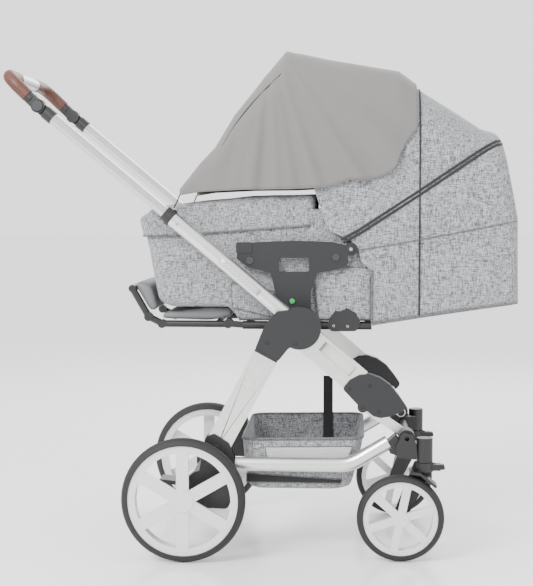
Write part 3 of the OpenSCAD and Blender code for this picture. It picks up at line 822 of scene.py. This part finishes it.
@dataclass
class Tub:
    """An open soft tub, such as the carrycot or the basket: rings from its rim to its floor."""

    name: str
    left: Curve
    right: Curve
    rim: Curve
    floor: Curve
    half: float
    corner: float
    cloth: float
    puff: float
    body: str
    node: str
    finish: Finish

    def point(self, u: float, v: float) -> Vector:
        """A point of the tub, round its wall by u and from its rim to the middle of its floor by v.

        Args:
            u: The share of the way round.
            v: From the rim at 0 to the middle of the floor at 1.

        Returns:
            The point in the frame.
        """
        wall = 0.72
        t = min(v / wall, 1.0)
        x, y = 0.0, 0.0
        z = along(self.rim, 0)
        for _ in range(3):
            x, y = ring_point(self.half, along(self.left, z), along(self.right, z), self.corner, u)
            rim, floor = along(self.rim, x), along(self.floor, x)
            z = rim + (floor - rim) * t
        bulge = self.puff * math.sin(math.pi * t) + 1.0 * noise.noise(Vector((x, y, z)) / 50.0)
        cx = (along(self.left, z) + along(self.right, z)) / 2
        if t > 0.94:
            bulge -= 8 * ((t - 0.94) / 0.06) ** 2
        out = Vector((max(min((x - cx) / 60, 1), -1) if abs(y) < self.half - 1 else 0, y / self.half, 0))
        spot = at(x, y, z) + out * (bulge - 1.5) * MM
        if v > wall:
            close = (v - wall) / (1 - wall)
            middle = at(cx, 0, along(self.floor, cx))
            flat = at(x + (cx - x) * close, y * (1 - close), 0)
            spot = Vector((flat.x - out.x * 8 * MM * (1 - close), flat.y - out.y * 8 * MM * (1 - close), 0))
            spot.z = along(self.floor, (spot.x - AXLE_X) / MM) * MM
            spot = spot if close < 0.999 else middle
        return spot

    def build(self, round_steps: int = 160, down_steps: int = 40) -> bpy.types.Object:
        """Builds the tub and puts it in place of its CAD solid.

        Args:
            round_steps: Cells round its wall.
            down_steps: Cells from its rim to the middle of its floor.

        Returns:
            The piece.
        """
        piece = finished(self.name, sheet_mesh(self.point, round_steps, down_steps), self.finish, self.body)
        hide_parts(self.node)
        return thicken(piece, self.cloth)

    def rim_path(self, drop: float, lift: float, first: float, last: float, steps: int = 90) -> list[Vector]:
        """A line round the wall, drop down from the rim as a share, from share first to last of the way round.

        Args:
            drop: The share of the way down from the rim.
            lift: How far outside the cloth, in millimetres.
            first: Where it starts.
            last: Where it ends.
            steps: How many pieces it has.

        Returns:
            Its points in the frame.
        """
        path = []
        for i in range(steps + 1):
            spot = self.point(first + (last - first) * i / steps, drop)
            path.append(spot + Vector((0, math.copysign(lift * MM, spot.y), 0)))
        return path


@dataclass
class Apron:
    """The foot apron: a crowned cover over the carrycot's foot end, with piping along its skirt."""

    left: float = -116
    right: float = 292
    half: float = 154
    corner: float = 26
    crown: Curve = ((-116, 776), (-100, 784), (-60, 796), (-2, 803), (140, 817), (292, 823))
    hem: Curve = ((-104, 727), (-15, 727), (43, 734), (284, 752))

    def point(self, u: float, v: float) -> Vector:
        """A point of the apron, round its skirt by u and from its hem over its crown by v.

        Args:
            u: The share of the way round.
            v: From the hem at 0 to the middle of the crown at 1.

        Returns:
            The point in the frame.
        """
        x, y = ring_point(self.half, self.left, self.right, self.corner, u)
        top, low = along(self.crown, x), along(self.hem, x)
        skirt, shoulder = 0.45, 0.62
        if v <= skirt:
            t = v / skirt
            lean = (1 - t) * 4 if x < -60 else 0
            return at(x + lean * 2, y, low + (top - 16 - low) * t) \
                + Vector((0, y / self.half, 0)) * noise.noise(Vector((x, y, v * 90)) / 40.0) * 1.0 * MM
        if v <= shoulder:
            a = (v - skirt) / (shoulder - skirt) * math.pi / 2
            pull = 16 * (1 - math.cos(a))
            inx = 1 if x < self.left + self.corner else 0
            return at(x + pull * inx, y - math.copysign(min(pull, abs(y)), y), top - 16 + 16 * math.sin(a))
        close = (v - shoulder) / (1 - shoulder)
        cx = (self.left + self.right) / 2
        x2 = x + (16 if x < self.left + self.corner else 0)
        x3 = x2 + (cx - x2) * close
        y3 = (y - math.copysign(min(16, abs(y)), y)) * (1 - close)
        rise = 3.0 * math.sin(math.pi * close / 2) + 1.6 * noise.noise(Vector((x3, y3, 0)) / 55.0) * close
        return at(x3, y3, along(self.crown, x3) + rise * (1 - abs(y3) / 200))

    def build(self) -> None:
        """Builds the cover and its piping."""
        piece = finished("apron_cloth", sheet_mesh(self.point, 150, 44), MELANGE, "seat")
        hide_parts("foot_apron")
        thicken(piece, 2.5)
        path = [self.point(u / 150 * 0.999, 0.0) for u in range(151)]
        finished("apron_piping", tube_mesh([p + Vector((0, math.copysign(0.0012, p.y), 0)) for p in path], 2.4, 8),
                 MELANGE_DARK, "seat")


def inflate(piece: bpy.types.Object, cap: float) -> None:
    """Fills a pad's cover with air in a cloth simulation, then keeps the result as its mesh.

    Args:
        piece: The pad.
        cap: The furthest that a point may move, in millimetres.
    """
    scene = bpy.context.scene
    cover = piece.modifiers.new("cover", "CLOTH")
    cover.settings.quality = 5
    cover.settings.use_pressure = True
    cover.settings.uniform_pressure_force = 4.0
    cover.settings.effector_weights.gravity = 0.0
    cover.point_cache.frame_start, cover.point_cache.frame_end = 1, 20
    for frame_number in range(1, 21):
        scene.frame_set(frame_number)
    filled = piece.evaluated_get(bpy.context.evaluated_depsgraph_get()).data
    places = [vert.co.copy() for vert in filled.vertices]
    piece.modifiers.remove(cover)
    scene.frame_set(1)
    for vert, place in zip(piece.data.vertices, places):
        move = place - vert.co
        vert.co += move * min(1.0, cap * MM / max(move.length, 1e-9))
    LOG.info("%s: inflated", piece.name)


def pad(name: str, node: str, body: str, finish: Finish, crown: float) -> None:
    """Builds a stuffed pad in its CAD solid's space.

    Args:
        name: The piece's name.
        node: The CAD node that it stands for.
        body: The body that it rides on.
        finish: Its cover.
        crown: How far its top rises in the middle, in millimetres.
    """
    source = frame["nodes"][node]
    mesh = bmesh.new()
    mesh.from_mesh(source.data)
    bmesh.ops.remove_doubles(mesh, verts=mesh.verts, dist=0.02 * MM)
    data = bpy.data.meshes.new(name + "_base")
    mesh.to_mesh(data)
    mesh.free()
    base = bpy.data.objects.new(name + "_base", data)
    bpy.context.scene.collection.objects.link(base)
    remesh = base.modifiers.new("remesh", "REMESH")
    remesh.mode = "VOXEL"
    remesh.voxel_size = 5 * MM
    smooth = base.modifiers.new("smooth", "SMOOTH")
    smooth.factor = 0.6
    smooth.iterations = 12
    bpy.context.view_layer.update()
    shaped = bpy.data.meshes.new_from_object(base.evaluated_get(bpy.context.evaluated_depsgraph_get()))
    bpy.data.objects.remove(base)
    mesh = bmesh.new()
    mesh.from_mesh(shaped)
    low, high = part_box(node)
    for vert in mesh.verts:
        across = 1 - (2 * (vert.co.y - low.y) / (high.y - low.y) - 1) ** 4
        lengthways = 1 - (2 * (vert.co.x - low.x) / (high.x - low.x) - 1) ** 4
        if vert.normal.z > 0.3:
            vert.co.z += crown * MM * max(across, 0) * max(lengthways, 0)
    piece = finished(name, mesh, finish, body)
    inflate(piece, crown + 1)
    smoother = piece.modifiers.new("subdivision", "SUBSURF")
    smoother.levels = smoother.render_levels = 1
    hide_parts(node)


def screw(name: str, x: float, z: float, y: float, body: str, radius: float = 4.0) -> None:
    """A countersunk screw head on both sides of the stroller, its face at y, with a small black disc on it as
    painted shade in its socket.

    Args:
        name: The name of the pair.
        x: Ahead of the rear axle.
        z: Above the floor.
        y: The outer face, from the middle.
        body: The body that it rides on.
        radius: Of its head.
    """
    for sign, side in ((-1, "right"), (1, "left")):
        head = disc_mesh(at(x, sign * (y - 0.8), z), radius, 1.6, 0.5)
        finished(f"{name}_{side}", head, STEEL if radius < 3.2 else POLYPROPYLENE, body)
        # The black disc stands in for the socket's recess: painted shade.
        finished(f"{name}_socket_{side}", disc_mesh(at(x, sign * (y + 0.1), z), radius * 0.5, 0.4, 0.1), COATED,
                 body)


def patch(name: str, start: Vector, end: Vector, width: float, y: float, body: str) -> None:
    """A dimpled grip patch let into a tube on both sides, its dimples painted darker as shade.

    Args:
        name: The piece's name.
        start: Its upper end, in X and Z millimetres as a vector with Y left out.
        end: Its lower end.
        width: Across the tube.
        y: Its face from the middle.
        body: The body that it rides on.
    """
    for sign, side in ((-1, "right"), (1, "left")):
        steps = 8
        middle = [start.lerp(end, i / steps) for i in range(steps + 1)]
        path = [at(spot.x, sign * y, spot.z) for spot in middle]
        finished(f"{name}_{side}", ribbon_mesh(path, [Vector((0, sign, 0))] * (steps + 1), width, 0.5), PUNCHED,
                 body)


@dataclass
class Hardware:
    """The carried-over CAD pieces, dressed, and the small trim on them."""

    edge: float = 0.7

    def dress(self) -> None:
        """Gives every CAD node its finish, smooth curves and softened edges."""
        slots = {s["node"]: s["material_slot"] for s in frame["record"]["subparts"]}
        for name, node in frame["nodes"].items():
            node.data.materials.clear()
            node.data.materials.append(SLOT_FINISHES[slots[name]].material())
            for face in node.data.polygons:
                face.use_smooth = True
            weld = node.modifiers.new("weld", "WELD")
            weld.merge_threshold = 0.01 * MM
            bevel = node.modifiers.new("bevel", "BEVEL")
            bevel.width = self.edge * MM
            bevel.segments = 2
            bevel.limit_method = "ANGLE"
            bevel.angle_limit = math.radians(40)
            normals = node.modifiers.new("normals", "WEIGHTED_NORMAL")
            normals.keep_sharp = True

    def trim(self) -> None:
        """Adds the screws, the dimpled patches, the indicators and the hood hinges' caps and pins."""
        for i, (x, z) in enumerate(((186, 491), (248, 489))):
            screw(f"hinge_screw_{i}", x, z, 239.2, "rear_legs")
        for i, (x, z) in enumerate(((370, 383), (416, 391), (436, 333), (400, 342))):
            screw(f"shell_screw_{i}", x, z, 209.2, "push_frame", 3.6)
        screw("foot_screw", 72, 254, 239.8, "chassis", 4.4)
        screw("bracket_screw", 499, 275, 222.3, "chassis", 4.2)
        for i, (x, z) in enumerate(((333, 522), (365, 521))):
            screw(f"seat_screw_{i}", x, z, 159.9, "seat", 3.0)
        for sign, side in ((-1, "right"), (1, "left")):
            finished(f"indicator_ring_{side}", disc_mesh(at(239, sign * 173.2, 579), 8.6, 1.2), COATED, "seat")
            finished(f"indicator_{side}", disc_mesh(at(239, sign * 173.8, 579), 6.0, 1.2), GREEN, "seat")
            finished(f"hood_hinge_cap_{side}", disc_mesh(at(372, sign * 175.2, 698), 9, 3.0), NYLON, "seat")
            finished(f"hood_hinge_pin_{side}", disc_mesh(at(372, sign * 176.8, 698), 4, 1.4), STEEL, "seat")
        patch("push_tube_patch", Vector((167, 0, 599.5)), Vector((77, 0, 675)), 15, 212.6, "push_frame")
        patch("front_tube_patch", Vector((308, 0, 481)), Vector((378, 0, 421)), 26, 205.9, "push_frame")


@dataclass
class Studio:
    """A pale floor, soft light and the camera."""

    camera_spot: Vector = field(default_factory=lambda: Vector((0.2108, -3.3188, 0.8031)))
    pitch: float = 0.0651
    yaw: float = 0.062
    lens: float = 85.08

    def build(self) -> None:
        """Builds the stage."""
        camera = bpy.data.cameras.new("camera")
        camera.lens = self.lens
        camera.sensor_width = 36.0
        view = bpy.data.objects.new("camera", camera)
        view.location = self.camera_spot
        view.rotation_euler = (math.pi / 2 - self.pitch, 0, self.yaw)
        bpy.context.scene.collection.objects.link(view)
        bpy.context.scene.camera = view
        mesh = bmesh.new()
        bmesh.ops.create_grid(mesh, x_segments=1, y_segments=1, size=30)
        data = bpy.data.meshes.new("floor")
        mesh.to_mesh(data)
        mesh.free()
        floor = bpy.data.objects.new("floor", data)
        bpy.context.scene.collection.objects.link(floor)
        pale = bpy.data.materials.new("pale_floor")
        pale.use_nodes = True
        shader = pale.node_tree.nodes["Principled BSDF"]
        shader.inputs["Base Color"].default_value = linear("#f4f4f4")
        shader.inputs["Roughness"].default_value = 0.22
        data.materials.append(pale)
        world = bpy.data.worlds.new("studio")
        world.use_nodes = True
        world.node_tree.nodes["Background"].inputs["Color"].default_value = linear("#ffffff")
        world.node_tree.nodes["Background"].inputs["Strength"].default_value = 1.9
        bpy.context.scene.world = world
        for name, spot, size, watts in (("key", (-1.6, -2.4, 2.6), 1.2, 150), ("fill", (2.4, -2.0, 1.6), 2.4, 20),
                                        ("rim", (0.4, 2.6, 2.4), 2.4, 90)):
            light = bpy.data.lights.new(name, "AREA")
            light.size = size
            light.energy = watts
            lamp = bpy.data.objects.new(name, light)
            lamp.location = spot
            lamp.rotation_euler = (Vector((0, 0, 0.6)) - Vector(spot)).to_track_quat("-Z", "Y").to_euler()
            bpy.context.scene.collection.objects.link(lamp)


@dataclass
class CarrycotUnit:
    """The carrycot: its tub, its foot apron, its sewn panels and the pads on the seat frame under it."""

    tub: Tub = field(default_factory=lambda: Tub(
        "carrycot_cloth", left=((531, -58), (563, -60), (582, -74), (690, -92), (765, -112)),
        right=((531, 700), (583, 734), (790, 738)), rim=((-112, 764), (-2, 789), (740, 789)),
        floor=((-60, 563.8), (100, 563.8), (114, 532), (440, 532), (736, 584)), half=151, corner=26,
        cloth=6, puff=3, body="seat", node="carrycot", finish=MELANGE))
    flap: Panel = Panel("cot_flap", ((98, 619), (196, 600), (197, 541), (100, 562)), 152.5, "seat", MELANGE, 1.6)
    cover: Panel = Panel("cot_cover", ((284, 655), (418, 655), (418, 538), (300, 538)), 157, "seat", MELANGE,
                         2.4)

    def build(self) -> None:
        """Builds the tub and its apron."""
        self.tub.build()
        Apron().build()

    def trim(self) -> None:
        """Builds the sewn panels and the pads."""
        self.flap.build()
        self.cover.build()
        pad("seat_cushion", "seat_pad", "seat", MELANGE, 4)
        pad("back_cushion", "backrest", "backrest", MELANGE, 4)
        pad("footrest_cushion", "footrest_pad", "footrest", FOOT_COVER, 0)


@dataclass
class Basket:
    """The shopping basket: its tub, its bound rim, its net window and a bound black strip of painted shade low on
    its wall.
    """

    tub: Tub = field(default_factory=lambda: Tub(
        "basket_cloth", left=((148, 140), (266, 123)), right=((148, 371), (266, 403)),
        rim=((120, 264), (404, 268)), floor=((120, 150), (330, 150), (404, 156)), half=193, corner=30, cloth=2,
        puff=3, body="chassis", node="basket", finish=MELANGE))
    # The window is a solid net panel whose holes are painted shade.
    window: Panel = Panel("basket_window", ((178, 247), (378, 250), (362, 206), (184, 206)), 194.2, "chassis",
                          NET, 0.4)
    # A black webbing strip with its binding, laid where the wall is dark in shade under the side rail: painted
    # shade, not a sewn band.
    painted_shade_strip: Panel = Panel("basket_painted_shade_strip", ((136, 186), (354, 174), (350, 165), (136, 166)), 194.4, "chassis",
                        WEBBING, 0.4)
    binding: float = 3.2

    def build(self) -> None:
        """Builds the tub and its binding, then the window and the strip of painted shade."""
        self.tub.build()
        rim = self.tub.rim_path(0.0, 0.4, 0, 0.9999, 160)
        finished("basket_rim", tube_mesh(rim, self.binding, 8), MELANGE_DARK, "chassis")
        self.window.build()
        self.painted_shade_strip.build()


def main() -> None:
    """Builds the stage, dresses the hardware, then builds the cloth and the trim in order."""
    Studio().build()
    hardware, cot = Hardware(), CarrycotUnit()
    hardware.dress()
    Hood().build()
    SunSail().build()
    cot.build()
    Basket().build()
    cot.trim()
    hardware.trim()


if __name__ == "__main__":
    main()
